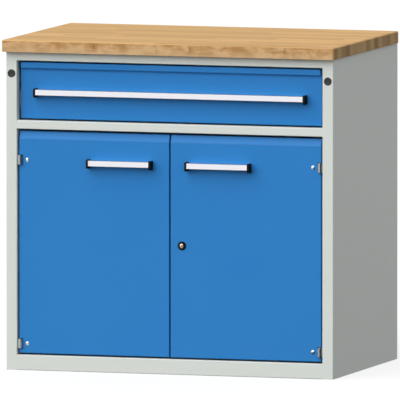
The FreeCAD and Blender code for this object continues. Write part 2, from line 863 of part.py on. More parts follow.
def door_panel(label, has_lock):
    """A door's front folded into a shallow pan: turned-in lips, notches for the hinges, open at the top."""
    body = new_body(label)
    outline = box_outline("door_face", "door_low", "door_rear", "bevel_low")
    prism(body, "X", "-door_outer", "-door_inner", [outline])
    round_front(body)
    hollow = box_outline("door_inside", "door_low + sheet", "door_rear - sheet", "bevel_low")
    prism(body, "X", "-door_outer + sheet", "-door_inner - sheet", [hollow], cut=True)
    window = box_outline(
        "-door_outer + door_lip", "door_low + door_lip", "-door_inner - door_lip", "bevel_low"
    )
    prism(body, "Y", "door_rear - sheet", "door_rear", [window], cut=True)
    notches = [
        box_outline("-door_outer", f"{level} - notch_half", "-notch_end", f"{level} + notch_half")
        for level in ("hinge_low", "hinge_high")
    ]
    prism(body, "Y", "door_face", "notch_back", notches, cut=True)
    holes = screw_outlines(door_screw_places(), "screw_radius + fit")
    holes += screw_outlines(hinge_screw_places(), "hinge_screw_radius + fit")
    if has_lock:
        holes.append(regular_outline(("-lock_x", "lock_z"), "barrel_radius + fit", PIN_SIDES))
    prism(body, "Y", "door_face", "door_inside", holes, cut=True)
    return body


def door_top_edge(label, has_bolt):
    """Folded strip that closes the top of a door: the bevel, the top and the turned-down lip behind."""
    body = new_body(label)
    outline = [
        ("door_face", "bevel_low"),
        ("door_face + bevel_back", "door_top"),
        ("door_rear", "door_top"),
        ("door_rear", "bevel_low"),
    ]
    prism(body, "X", "-door_outer", "-door_inner", [outline])
    round_front(body)
    hollow = [
        ("door_inside", "bevel_low"),
        ("door_inside + bevel_back", "door_top - sheet"),
        ("door_rear - sheet", "door_top - sheet"),
        ("door_rear - sheet", "bevel_low"),
    ]
    prism(body, "X", "-door_outer + sheet", "-door_inner - sheet", [hollow], cut=True)
    window = box_outline(
        "-door_outer + door_lip", "bevel_low", "-door_inner - door_lip", "door_top - door_lip"
    )
    prism(body, "Y", "door_rear - sheet", "door_rear", [window], cut=True)
    if has_bolt:
        bolt_hole = (("-bolt_x", "bolt_y"), "bolt_radius + bolt_hole_play")
        prism(body, "Z", "door_top - sheet", "door_top", circles=[bolt_hole], cut=True)
    return body


def hinge_screw_places():
    """Screws that hold the hinge leaves to a door."""
    return [("-hinge_screw_x", level) for level in ("hinge_low", "hinge_high")]


def hinge_pieces():
    """Butt hinges with three knuckles: leaf on the post, leaf behind the door front, pin and screw."""
    frame_leaves = new_body("left_hinge_frame_leaves")
    pins = new_body("left_hand_pins")
    door_leaves = new_body("left_hinge_door_leaves")
    screws = new_body("left_hinge_screws")
    axis = ("-hinge_x", "hinge_y")
    bore = [regular_outline(axis, "pin_radius + hinge_play", BORE_SIDES)]
    leaf_back = "door_inside + leaf_sheet"
    for level in ("hinge_low", "hinge_high"):
        low = f"{level} - hinge_height / 2"
        high = f"{level} + hinge_height / 2"
        middle_low = f"{level} - hinge_middle / 2"
        middle_high = f"{level} + hinge_middle / 2"
        post_side = "-opening + leaf_sheet"

        plate = box_outline("frame_leaf_front", low, "frame_leaf_front + frame_leaf_length", high)
        prism(frame_leaves, "X", "-opening", post_side, [plate])
        prism(frame_leaves, "Z", middle_low, middle_high, circles=[(axis, "knuckle_radius")])
        tab = box_outline("-opening", "hinge_y", post_side, "frame_leaf_front")
        prism(frame_leaves, "Z", middle_low, middle_high, [tab])
        prism(frame_leaves, "Z", middle_low, middle_high, bore, cut=True)

        pin = regular_outline(axis, "pin_radius", PIN_SIDES)
        prism(pins, "Z", f"{low} - pin_overhang", f"{high} + pin_overhang", [pin])

        plate = box_outline("-hinge_x", low, "-leaf_end", high)
        prism(door_leaves, "Y", "door_inside", leaf_back, [plate])
        prism(door_leaves, "Z", low, f"{middle_low} - hinge_play", circles=[(axis, "knuckle_radius")])
        prism(door_leaves, "Z", f"{middle_high} + hinge_play", high, circles=[(axis, "knuckle_radius")])
        clear = "-hinge_x + knuckle_radius + hinge_play"
        gap = box_outline("-hinge_x", f"{middle_low} - hinge_play", clear, f"{middle_high} + hinge_play")
        prism(door_leaves, "Y", "door_inside", leaf_back, [gap], cut=True)
        prism(door_leaves, "Z", low, high, bore, cut=True)
    places = hinge_screw_places()
    holes = screw_outlines(places, "hinge_screw_radius + fit")
    prism(door_leaves, "Y", "door_inside", leaf_back, holes, cut=True)

    shanks = screw_outlines(places, "hinge_screw_radius")
    prism(screws, "Y", "door_face", leaf_back, shanks)
    head_face = "door_face - hinge_screw_head_height"
    heads = screw_outlines(places, "hinge_screw_head_radius")
    prism(screws, "Y", head_face, "door_face", heads)
    group("hinge_pins", pins)
    return [frame_leaves, door_leaves, screws]


def stiffener():
    """Hat-section strip up the inside of a door's front."""
    body = new_body("left_door_stiffener")
    place = "-stiffener_place"
    inner = "stiffener_width / 2"
    outer = "stiffener_half"
    near = "door_inside"
    crown = "door_inside + stiffener_depth"
    outline = [
        (f"{place} - {outer}", near),
        (f"{place} - {outer}", f"{near} + sheet"),
        (f"{place} - {inner}", f"{near} + sheet"),
        (f"{place} - {inner}", crown),
        (f"{place} + {inner}", crown),
        (f"{place} + {inner}", f"{near} + sheet"),
        (f"{place} + {outer}", f"{near} + sheet"),
        (f"{place} + {outer}", near),
        (f"{place} + {inner} - sheet", near),
        (f"{place} + {inner} - sheet", f"{crown} - sheet"),
        (f"{place} - {inner} + sheet", f"{crown} - sheet"),
        (f"{place} - {inner} + sheet", near),
    ]
    prism(body, "Z", "door_low + sheet", "bevel_low", [outline])
    return body


def doors():
    """Both doors with everything that is fixed to them, and the hinges on the frame."""
    node(door_panel("left_door_panel", has_lock=False))
    mirror("right_door_panel", door_panel("right_hand_panel", has_lock=True))
    node(door_top_edge("left_door_top_edge", has_bolt=True))
    mirror("right_door_top_edge", door_top_edge("right_hand_top_edge", has_bolt=False))
    pieces = hinge_pieces()
    pieces.append(stiffener())
    pieces += handle_pieces("left_door", "door_face", "-door_handle_offset", "door_handle_height",
                            "door_handle_length", door_screw_places(), "sheet")
    for piece in pieces:
        node(piece)
        mirror(piece.Label.replace("left_", "right_"), piece)


def lock():
    """Cylinder lock of the right door: housing, ring nut, turning plug and cam."""
    axis = ("lock_x", "lock_z")
    rosette_face = "door_face - rosette_height"
    housing = node(new_body("lock_housing"))
    prism(housing, "Y", rosette_face, "door_face", circles=[(axis, "rosette_radius")])
    ease_rims(housing, "rosette_radius", "rosette_chamfer", "Y", rosette_face)
    prism(housing, "Y", "door_face", "barrel_back", [regular_outline(axis, "barrel_radius", PIN_SIDES)])
    bore = [(axis, "plug_radius + fit")]
    prism(housing, "Y", rosette_face, "barrel_back", circles=bore, cut=True)

    nut = node(new_body("lock_nut"))
    nut_back = "door_inside + nut_height"
    prism(nut, "Y", "door_inside", nut_back, [regular_outline(axis, "nut_radius", NUT_SIDES)])
    thread = regular_outline(axis, "barrel_radius + fit", PIN_SIDES)
    prism(nut, "Y", "door_inside", nut_back, [thread], cut=True)

    plug = node(new_body("lock_plug"))
    plug_face = f"{rosette_face} - plug_proud"
    prism(plug, "Y", plug_face, "cam_front", circles=[(axis, "plug_radius")])
    keyway = box_outline("lock_x - keyway_width / 2", "lock_z - keyway_height / 2",
                         "lock_x + keyway_width / 2", "lock_z + keyway_height / 2")
    prism(plug, "Y", plug_face, f"{plug_face} + keyway_depth", [keyway], cut=True)
    prism(plug, "Y", "cam_front", "cam_back", [regular_outline(axis, "tail_radius", TAIL_SIDES)])
    tail_head = regular_outline(axis, "tail_head_radius", NUT_SIDES)
    prism(plug, "Y", "cam_back", "cam_back + tail_head_height", [tail_head])

    cam = node(new_body("lock_cam"))
    outline = box_outline("lock_x - cam_width / 2", "lock_z - cam_reach", "lock_x + cam_width / 2",
                          "lock_z + cam_width / 2")
    prism(cam, "Y", "cam_front", "cam_back", [outline])
    round_edges(cam, "Y", outline[:2], "cam_width * 3 / 8")
    tail_hole = regular_outline(axis, "tail_radius + fit", TAIL_SIDES)
    prism(cam, "Y", "cam_front", "cam_back", [tail_hole], cut=True)


def shoot_bolt():
    """Bolt that slides up from the left door into the middle rail, and the guides that carry it."""
    axis = ("-bolt_x", "bolt_y")
    bolt = node(new_body("left_door_bolt"))
    prism(bolt, "Z", "bolt_top - bolt_length", "bolt_top", circles=[(axis, "bolt_radius")])
    ease_rims(bolt, "bolt_radius", "bolt_radius / 3", "Z", "bolt_top")
    knob = [(("-bolt_x", "door_top - bolt_knob_drop"), "bolt_radius")]
    prism(bolt, "Y", "bolt_y", "door_rear + bolt_knob_reach", circles=knob)

    guides = node(new_body("left_door_bolt_guides"))
    for drop in ("guide_drop_upper", "guide_drop_lower"):
        low = f"door_top - {drop} - guide_height / 2"
        high = f"door_top - {drop} + guide_height / 2"
        block = box_outline(
            "-bolt_x - guide_width / 2", "door_inside", "-bolt_x + guide_width / 2", "door_rear"
        )
        prism(guides, "Z", low, high, [block])
        prism(guides, "Z", low, high, circles=[(axis, "bolt_radius + fit")], cut=True)


def is_sound(shape):
    """Whether a shape holds valid solids."""
    return not shape.isNull() and shape.isValid() and len(shape.Solids) > 0


def check_all():
    """Stops the build if any object failed or any sub-part has no sound solid."""
    doc.recompute()
    failed = [item.Label for item in doc.Objects if "Invalid" in item.State or "Error" in item.State]
    unsound = [item.Label for item in nodes if not is_sound(item.Shape)]
    if failed or unsound:
        raise RuntimeError(f"failed: {failed}; unsound: {unsound}")


def write_all():
    """Writes each sub-part to a file of its own name."""
    os.makedirs("parts", exist_ok=True)
    for item in nodes:
        item.Shape.exportStep(f"parts/{item.Label}.step")


fill_sheet()
side_panels()
back_panel()
frame()
post_plugs()
shelving()
runners()
drawer()
for piece in handle_pieces("drawer", "drawer_face", "0", "drawer_handle_height", "drawer_handle_length",
                           drawer_screw_places(), "2 * sheet"):
    node(piece)
doors()
lock()
shoot_bolt()
check_all()
write_all()
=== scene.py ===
"""Looks of the counter cabinet: materials, hardware, welds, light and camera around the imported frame."""
import json
import math

import bmesh
import bpy
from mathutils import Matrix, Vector


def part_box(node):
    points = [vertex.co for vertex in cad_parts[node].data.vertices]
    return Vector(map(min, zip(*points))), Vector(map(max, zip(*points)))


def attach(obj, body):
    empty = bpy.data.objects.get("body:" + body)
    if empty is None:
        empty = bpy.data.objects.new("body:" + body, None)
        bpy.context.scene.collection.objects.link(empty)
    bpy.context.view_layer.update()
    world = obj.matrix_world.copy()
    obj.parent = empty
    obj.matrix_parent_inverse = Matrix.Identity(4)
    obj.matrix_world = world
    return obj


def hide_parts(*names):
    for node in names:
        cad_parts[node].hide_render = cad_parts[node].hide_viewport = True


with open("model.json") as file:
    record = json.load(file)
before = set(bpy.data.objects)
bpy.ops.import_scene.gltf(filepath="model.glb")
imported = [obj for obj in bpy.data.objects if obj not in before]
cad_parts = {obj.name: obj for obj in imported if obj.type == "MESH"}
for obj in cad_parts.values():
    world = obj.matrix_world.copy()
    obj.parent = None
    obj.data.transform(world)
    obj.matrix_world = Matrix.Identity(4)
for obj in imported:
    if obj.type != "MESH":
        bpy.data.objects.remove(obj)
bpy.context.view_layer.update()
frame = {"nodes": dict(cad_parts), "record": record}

# Lengths are in metres, angles in degrees, texture scales in features per metre and colours linear.
# The values of each material, piece and light stand above the function that uses them.

# Colours of coats, plastics and metals, each with its pale or dull shade. The coats' pale shade tints clouds,
# specks and edges, where it is partly wear and partly a painted highlight; the aluminium lip colour is a
# painted shade.
GREY = (0.625, 0.66, 0.632, 1)
GREY_PALE_AND_SHEEN = (0.72, 0.74, 0.72, 1)
BLUE = (0.012, 0.182, 0.515, 1)
BLUE_PALE_AND_SHEEN = (0.09, 0.28, 0.58, 1)
LABEL = (0.84, 0.84, 0.9, 1)
LABEL_FIBRE = (0.7, 0.7, 0.76, 1)
BLACK = (0.012, 0.012, 0.012, 1)
BLACK_PALE = (0.05, 0.05, 0.05, 1)
JET_BLACK = (0.003, 0.003, 0.003, 1)
NICKEL = (0.47, 0.56, 0.63, 1)
NICKEL_DULL = (0.36, 0.43, 0.49, 1)
CORE_METAL = (0.49, 0.42, 0.36, 1)
CORE_DULL = (0.36, 0.3, 0.24, 1)
ZINC = (0.6, 0.61, 0.62, 1)
ZINC_DULL = (0.45, 0.46, 0.47, 1)
BARREL_STEEL = (0.38, 0.43, 0.46, 1)
BARREL_DULL = (0.3, 0.34, 0.36, 1)
ALUMINIUM = (0.8, 0.8, 0.81, 1)
ALUMINIUM_DULL = (0.68, 0.68, 0.69, 1)
# Painted shade on the front faces of the handle profile, its lips.
ALUMINIUM_LIP_SHADE = (0.1, 0.1, 0.105, 1)

# Colours of the beech: its top, its front and back edges with a painted light from below, its ends, and its
# knots, flecks and glue.
BEECH_LIGHT = (0.64, 0.398, 0.166, 1)
BEECH_DARK = (0.44, 0.27, 0.112, 1)
EDGE_LIGHT = (0.87, 0.595, 0.305, 1)
EDGE_DARK = (0.56, 0.33, 0.112, 1)
# A painted light from below, which pales the lower part of the front and back edges.
EDGE_LIT_BELOW = (0.84, 0.62, 0.37, 1)
END_LIGHT = (0.49, 0.33, 0.165, 1)
END_DARK = (0.27, 0.17, 0.074, 1)
KNOT = (0.22, 0.085, 0.04, 1)

# Reflections fade from white to dark towards the right, by the direction's share along X.
FADE_SPAN = (-0.05, 0.5)
FADE_LEVEL = 0.04


class Nodes:
    """Builds the nodes of a material or a world."""

    def __init__(self, owner, output):
        owner.use_nodes = True
        self.tree = owner.node_tree
        self.tree.nodes.clear()
        self.end = self.add(output).inputs["Surface"]

    def add(self, kind, feeds=None, **settings):
        """Adds a node, by its settings and what feeds its sockets."""
        node = self.tree.nodes.new(f"ShaderNode{kind}")
        for name, value in settings.items():
            setattr(node, name, value)
        for name, value in (feeds or {}).items():
            self.feed(node.inputs[name], value)
        return node

    def feed(self, socket, value):
        """Links a socket to another one, or sets its value."""
        if isinstance(value, bpy.types.NodeSocket):
            self.tree.links.new(value, socket)
        else:
            socket.default_value = value

    def math(self, operation, first, second=0.0, third=0.0):
        node = self.add("Math", {0: first, 1: second, 2: third}, operation=operation)
        return node.outputs[0]

    def plus(self, first, second):
        return self.math("ADD", first, second)

    def minus(self, first, second):
        return self.math("SUBTRACT", first, second)

    def times(self, first, second):
        return self.math("MULTIPLY", first, second)

    def over(self, first, second):
        return self.math("DIVIDE", first, second)

    def add_share(self, value, share, onto):
        """A share of a value, added onto another one."""
        return self.math("MULTIPLY_ADD", value, share, onto)

    def ramp(self, value, low, high, start=0.0, end=1.0):
        """Spreads a value's span from low to high over start to end."""
        feeds = {"Value": value, "From Min": low, "From Max": high, "To Min": start, "To Max": end}
        return self.add("MapRange", feeds).outputs[0]

    def mix(self, factor, first, second):
        """A mix of two shaders."""
        return self.add("MixShader", {0: factor, 1: first, 2: second}).outputs[0]

    def surroundings(self, direction):
        """Brightness of the surroundings in reflections: white, but dark towards the right."""
        sideways = self.add("SeparateXYZ", {0: direction}).outputs["X"]
        return self.ramp(sideways, *FADE_SPAN, 1.0, FADE_LEVEL)


# Edges are found by how far their eased direction leans from the true one, as the cosine of that angle.
EDGE_SAMPLES = 4
EDGE_SPAN = (0.995, 0.9)


class Material(Nodes):
    """Builds one material's nodes around a Principled shader."""

    def __init__(self, name):
        self.material = bpy.data.materials.new(name)
        super().__init__(self.material, "OutputMaterial")
        self.shader = self.add("BsdfPrincipled")
        self.feed(self.end, self.shader.outputs[0])
        self.place = self.add("TexCoord").outputs["Object"]

    def set(self, **values):
        """Sets the shader's sockets; underscores stand for the blanks in their names."""
        for name, value in values.items():
            self.feed(self.shader.inputs[name.replace("_", " ")], value)

    def noise(self, scale, detail=3.0):
        """Noise of one scale in the object's own space."""
        feeds = {"Vector": self.place, "Scale": scale, "Detail": detail}
        return self.add("TexNoise", feeds).outputs[0]

    def grain(self, scales, place=None, detail=3.0, distortion=0.0):
        """Noise with a scale of its own along each axis."""
        stretched = self.add("Mapping", {"Vector": place or self.place, "Scale": scales}).outputs[0]
        feeds = {"Vector": stretched, "Scale": 1, "Detail": detail, "Distortion": distortion}
        return self.add("TexNoise", feeds).outputs[0]

    def between(self, factor, low, high):
        """A number between two others."""
        return self.ramp(factor, 0.0, 1.0, low, high)

    def blend(self, factor, first, second):
        """A mix of two colours."""
        node = self.add("Mix", data_type="RGBA")
        for index, value in ((0, factor), (6, first), (7, second)):
            self.feed(node.inputs[index], value)
        return node.outputs[2]

    def soft_edges(self, radius):
        """Surface direction with its sharp edges eased, and a mask of those edges."""
        eased = self.add("Bevel", {"Radius": radius}, samples=EDGE_SAMPLES).outputs[0]
        true = self.add("NewGeometry").outputs["Normal"]
        same = self.add("VectorMath", {0: eased, 1: true}, operation="DOT_PRODUCT").outputs["Value"]
        return eased, self.ramp(same, *EDGE_SPAN)

    def bump(self, height, strength, distance, normal=None):
        """Surface direction with a fine relief."""
        feeds = {"Height": height, "Strength": strength, "Distance": distance}
        if normal is not None:
            feeds["Normal"] = normal
        return self.add("Bump", feeds).outputs[0]


# Staves of the worktop, in rows from its front.
WORKTOP_LOW, WORKTOP_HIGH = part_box("worktop")
STAVE_WIDTH = 0.0409
STAVE_LENGTH = 0.47
STAVE_STAGGER = 7
STAVE_SHIFT = (9, 9, 9)
GLUE_LINE = 0.0006
GLUE_SHARE = 0.4

# Growth rings about each stave's pith: its spread along Y, drop below the top and rise from there.
PITH_SPREAD = 0.16
PITH_DROP = 0.11
PITH_RISE = 0.12
RING_PITCH = 0.0042
RING_WANDER = 0.012

# Textures of the wood, by their scales along X, Y and Z.
STREAK_GRAIN = (3.2, 150, 150)
WAVE_GRAIN = (5, 38, 38)
FLECK_GRAIN = (170, 1100, 1100)
FLECK_SPAN = (0.6, 0.72)
FLECK_SHARE = 0.22
FLAME_GRAIN = (26, 30, 48)
FLAME_BEND = 0.5

# Shares in the figure of the top, the edges and the ends, and the spans that turn it from light to dark.
TOP_STAVE = 0.42
TOP_STREAK = 0.6
TOP_RING = 0.16
TOP_WAVE = 0.2
TOP_SPAN = (0.36, 1.05)
EDGE_STREAK = 0.35
FLAME_SPAN = (0.55, 0.8)
END_RING = 0.35
END_SPAN = (0.1, 1.15)

# Faces count as square to an axis by how much of their direction lies along it.
FACING_SPAN = (0.75, 0.9)

# Depths below the top between which a painted light from below turns the edges paler.
LIT_BELOW_START = 0.013
LIT_BELOW_END = 0.033
LIT_BELOW_SHARE = 0.5

# Knots in the front edge, by place along X and depth below the top, and their half sizes.
KNOTS = ((-0.225, 0.014), (0.0695, 0.016), (0.358, 0.013))
KNOT_WIDTH = 0.0055
KNOT_HEIGHT = 0.011
KNOT_DEPTH = 0.012
KNOT_STREAK = 0.7
KNOT_SPAN = (1.5, 0.4)
KNOT_SHARE = 0.62

# Finish of the wood, with a painted highlight along its arrises.
WOOD_ARRIS = 0.0012
WOOD_ARRIS_HIGHLIGHT = 0.3
WOOD_ROUGH = (0.55, 0.75)
WOOD_SPECULAR = 0.06
WOOD_BUMP = 0.22
WOOD_RELIEF = 0.0003
RELIEF_RING = 0.3


class Beech(Material):
    """Block-glued beech: staves along X, each with its own tone and rings, and darker end grain."""

    def __init__(self):
        super().__init__("beech_block")
        self.x, self.y, self.z = self.add("SeparateXYZ", {0: self.place}).outputs
        self.from_front = self.minus(self.y, WORKTOP_LOW.y)
        self.lay_staves()
        self.grow_rings()
        eased, edges = self.soft_edges(WOOD_ARRIS)
        fleck = self.ramp(self.grain(FLECK_GRAIN, self.own, detail=1), *FLECK_SPAN)
        glue = self.glue_lines()
        tone = self.top_tone()
        tone = self.blend(self.facing("Y"), tone, self.edge_tone())
        tone = self.blend(self.facing("X"), tone, self.end_tone())
        tone = self.blend(self.times(fleck, FLECK_SHARE), tone, KNOT)
        # Painted highlight along the arrises.
        tone = self.blend(self.times(edges, WOOD_ARRIS_HIGHLIGHT), tone, BEECH_LIGHT)
        tone = self.blend(self.times(glue, GLUE_SHARE), tone, KNOT)
        tone = self.add_knots(tone)
        relief = self.add_share(self.rings, RELIEF_RING, self.streak)
        relief = self.minus(relief, self.plus(fleck, glue))
        self.set(
            Base_Color=tone,
            Roughness=self.between(self.streak, *WOOD_ROUGH),
            Specular_IOR_Level=WOOD_SPECULAR,
            Normal=self.bump(relief, WOOD_BUMP, WOOD_RELIEF, eased),
        )

    def lay_staves(self):
        """Counts staves across and along, and gives each one chance values and a texture place of its own."""
        self.across = self.over(self.from_front, STAVE_WIDTH)
        row = self.math("FLOOR", self.across)
        row_chance = self.add("TexWhiteNoise", {"W": row}, noise_dimensions="1D").outputs["Value"]
        self.along = self.plus(self.over(self.x, STAVE_LENGTH), self.times(row_chance, STAVE_STAGGER))
        stave = self.add("CombineXYZ", {0: row, 1: self.math("FLOOR", self.along)}).outputs[0]
        chance = self.add("TexWhiteNoise", {"Vector": stave}).outputs["Color"]
        self.chances = self.add("SeparateColor", {0: chance}).outputs
        shift = self.add("VectorMath", {0: chance, 1: STAVE_SHIFT}, operation="MULTIPLY").outputs[0]
        self.own = self.add("VectorMath", {0: self.place, 1: shift}, operation="ADD").outputs[0]

    def grow_rings(self):
        """Long streaks, a slow wave, and growth rings about the pith of each stave."""
        self.streak = self.grain(STREAK_GRAIN, self.own, detail=5)
        self.wave = self.grain(WAVE_GRAIN, self.own, detail=2)
        pith_y = self.times(self.minus(self.chances[1], 0.5), PITH_SPREAD)
        pith_z = self.plus(self.times(self.chances[2], PITH_RISE), WORKTOP_HIGH.z - PITH_DROP)
        from_y = self.minus(self.times(self.math("FRACT", self.across), STAVE_WIDTH), pith_y)
        from_z = self.minus(self.z, pith_z)
        square = self.plus(self.math("POWER", from_y, 2.0), self.math("POWER", from_z, 2.0))
        far = self.plus(self.math("SQRT", square), self.times(self.wave, RING_WANDER))
        swing = self.math("SINE", self.times(far, 2 * math.pi / RING_PITCH))
        self.rings = self.ramp(swing, -1.0, 1.0)

    def glue_lines(self):
        """Mask of the joints between the staves."""
        lines = []
        for place, size in ((self.across, STAVE_WIDTH), (self.along, STAVE_LENGTH)):
            from_middle = self.math("ABSOLUTE", self.minus(self.math("FRACT", place), 0.5))
            lines.append(self.ramp(from_middle, 0.5 - GLUE_LINE / size, 0.5))
        return self.math("MAXIMUM", *lines)

    def facing(self, axis):
        """Mask of the faces square to an axis of the world, because the worktop never moves."""
        normal = self.add("SeparateXYZ", {0: self.add("NewGeometry").outputs["Normal"]})
        return self.ramp(self.math("ABSOLUTE", normal.outputs[axis]), *FACING_SPAN)

    def top_tone(self):
        """Staves of different tones, with streaks, rings and waves."""
        figure = self.times(self.chances[0], TOP_STAVE)
        for part, share in ((self.streak, TOP_STREAK), (self.rings, TOP_RING), (self.wave, TOP_WAVE)):
            figure = self.add_share(part, share, figure)
        return self.blend(self.ramp(figure, *TOP_SPAN), BEECH_LIGHT, BEECH_DARK)

    def edge_tone(self):
        """Soft flames on the front and back edges, paler towards the bottom with a painted light from below.
        """
        flame = self.grain(FLAME_GRAIN, self.own, detail=2, distortion=FLAME_BEND)
        flame = self.add_share(self.streak, EDGE_STREAK, flame)
        tone = self.blend(self.ramp(flame, *FLAME_SPAN), EDGE_LIGHT, EDGE_DARK)
        # Painted light from below pales the lower part of the edges.
        pale = self.ramp(self.z, WORKTOP_HIGH.z - LIT_BELOW_START, WORKTOP_HIGH.z - LIT_BELOW_END)
        return self.blend(self.times(pale, LIT_BELOW_SHARE), tone, EDGE_LIT_BELOW)

    def end_tone(self):
        """End grain of the staves."""
        figure = self.add_share(self.rings, END_RING, self.chances[0])
        return self.blend(self.ramp(figure, *END_SPAN), END_LIGHT, END_DARK)

    def add_knots(self, tone):
        """Adds small dark knots to the front edge."""
        for place_x, drop in KNOTS:
            aside = self.over(self.minus(self.x, place_x), KNOT_WIDTH)
            above = self.over(self.minus(self.z, WORKTOP_HIGH.z - drop), KNOT_HEIGHT)
            behind = self.over(self.from_front, KNOT_DEPTH)
            away = self.add("CombineXYZ", {0: aside, 1: above, 2: behind}).outputs[0]
            away = self.add("VectorMath", {0: away}, operation="LENGTH").outputs["Value"]
            spot = self.ramp(self.add_share(self.streak, KNOT_STREAK, away), *KNOT_SPAN)
            tone = self.blend(self.times(spot, KNOT_SHARE), tone, KNOT)
        return tone


# Powder coat: scales and shares of clouds, specks, peel and waves, and its finish.
COAT_CLOUDS = 5
COAT_CLOUD_SHARE = 0.1
COAT_SPECKS = 1400
COAT_SPECK_SPAN = (0.66, 0.78)
COAT_SPECK_SHARE = 0.1
COAT_PEEL = 700
COAT_WAVES = 160
COAT_WAVE_SHARE = 0.6
COAT_ROUGH_PATCHES = 30
COAT_ROUGH = (0.42, 0.56)
COAT_SPECULAR = 0.24
COAT_BUMP = 0.16
COAT_RELIEF = 0.00025


def powder_coat(name, colour, pale_and_sheen, arris_share, arris):
    """Satin powder coat: a fine orange peel, faint cloudiness and paler arrises, partly wear and partly a
    painted highlight.
    """
    look = Material(name)
    eased, edges = look.soft_edges(arris)
    cloud = look.noise(COAT_CLOUDS, detail=4)
    speck = look.ramp(look.noise(COAT_SPECKS, detail=1), *COAT_SPECK_SPAN)
    tone = look.blend(look.between(cloud, 0.0, COAT_CLOUD_SHARE), colour, pale_and_sheen)
    # Paler edges, partly wear and partly a painted highlight.
    tone = look.blend(look.times(edges, arris_share), tone, pale_and_sheen)
    tone = look.blend(look.times(speck, COAT_SPECK_SHARE), tone, pale_and_sheen)
    peel = look.plus(look.noise(COAT_PEEL, detail=2), look.times(look.noise(COAT_WAVES), COAT_WAVE_SHARE))
    look.set(
        Base_Color=tone,
        Roughness=look.between(look.noise(COAT_ROUGH_PATCHES, detail=5), *COAT_ROUGH),
        Specular_IOR_Level=COAT_SPECULAR,
        Normal=look.bump(peel, COAT_BUMP, COAT_RELIEF, eased),
    )
    return look.material


# Moulded plastic: scales and shares of clouds and grain, and how far its roughness strays below and above.
PLASTIC_ARRIS = 0.0006
PLASTIC_ARRIS_SHARE = 0.3
PLASTIC_CLOUDS = 60
PLASTIC_CLOUD_SHARE = 0.35
PLASTIC_GRAIN = 2600
PLASTIC_ROUGH_PATCHES = 90
PLASTIC_SMOOTHER = 0.08
PLASTIC_ROUGHER = 0.1
PLASTIC_BUMP = 0.25
PLASTIC_RELIEF = 0.00015


def moulded(name, colour, pale, rough, specular):
    """Moulded plastic with a fine grain."""
    look = Material(name)
    eased, edges = look.soft_edges(PLASTIC_ARRIS)
    cloud = look.noise(PLASTIC_CLOUDS, detail=4)
    patch = look.noise(PLASTIC_ROUGH_PATCHES)
    tone = look.blend(look.times(cloud, PLASTIC_CLOUD_SHARE), colour, pale)
    tone = look.blend(look.times(edges, PLASTIC_ARRIS_SHARE), tone, pale)
    look.set(
        Base_Color=tone,
        Roughness=look.between(patch, rough - PLASTIC_SMOOTHER, rough + PLASTIC_ROUGHER),
        Specular_IOR_Level=specular,
        Normal=look.bump(look.noise(PLASTIC_GRAIN, detail=2), PLASTIC_BUMP, PLASTIC_RELIEF, eased),
    )
    return look.material


# Paper of the labels, with its fibre by scales along X, Y and Z.
PAPER_FIBRE = (500, 1500, 1500)
PAPER_FIBRE_SHARE = 0.12
PAPER_ROUGH = (0.3, 0.45)
PAPER_SPECULAR = 0.3
PAPER_BUMP = 0.08
PAPER_RELIEF = 0.0001


def paper_label():
    """Smooth white label strip with a faint paper fibre."""
    look = Material("label_strip")
    fibre = look.grain(PAPER_FIBRE, detail=4)
    look.set(
        Base_Color=look.blend(look.times(fibre, PAPER_FIBRE_SHARE), LABEL, LABEL_FIBRE),
        Roughness=look.between(fibre, *PAPER_ROUGH),
        Specular_IOR_Level=PAPER_SPECULAR,
        Normal=look.bump(fibre, PAPER_BUMP, PAPER_RELIEF),
    )
    return look.material


# Metal: fine lines by scales along X, Y and Z, dull patches, and how far roughness strays below and above.
DRAWN_ALONG_X = (8, 900, 900)
DRAWN_ALONG_Y = (900, 14, 900)
DRAWN_ALONG_Z = (900, 900, 60)
EVEN_GRAIN = (900, 900, 900)
METAL_ARRIS = 0.0005
METAL_ARRIS_SHARE = 0.4
METAL_PATCHES = 190
METAL_PATCH_SHARE = 0.35
METAL_LINE_ROUGH = 0.12
METAL_SMOOTHER = 0.08
METAL_ROUGHER = 0.05
METAL_BUMP = 0.1
METAL_RELIEF = 0.0001

# Faces count as turned to the front by their direction's share along Y.
FRONT_SPAN = (-0.6, -0.9)


def plated(name, colour, dull, lines, rough, front=None):
    """Metal with fine lines and small dull patches; faces to the front may take a painted shade of their own.
    """
    look = Material(name)
    eased, edges = look.soft_edges(METAL_ARRIS)
    line = look.grain(lines)
    patches = look.add("TexVoronoi", {"Vector": look.place, "Scale": METAL_PATCHES}).outputs["Color"]
    patch = look.add("SeparateColor", {0: patches}).outputs[0]
    tone = look.blend(look.times(patch, METAL_PATCH_SHARE), colour, dull)
    tone = look.blend(look.times(edges, METAL_ARRIS_SHARE), tone, colour)
    if front:
        # Painted shade on the faces turned to the front.
        facing = look.add("SeparateXYZ", {0: look.add("TexCoord").outputs["Normal"]}).outputs["Y"]
        tone = look.blend(look.ramp(facing, *FRONT_SPAN), tone, front)
    spread = look.between(patch, rough - METAL_SMOOTHER, rough + METAL_ROUGHER)
    look.set(
        Base_Color=tone,
        Metallic=1.0,
        Roughness=look.add_share(line, METAL_LINE_ROUGH, spread),
        Normal=look.bump(line, METAL_BUMP, METAL_RELIEF, eased),
    )
    return look.material


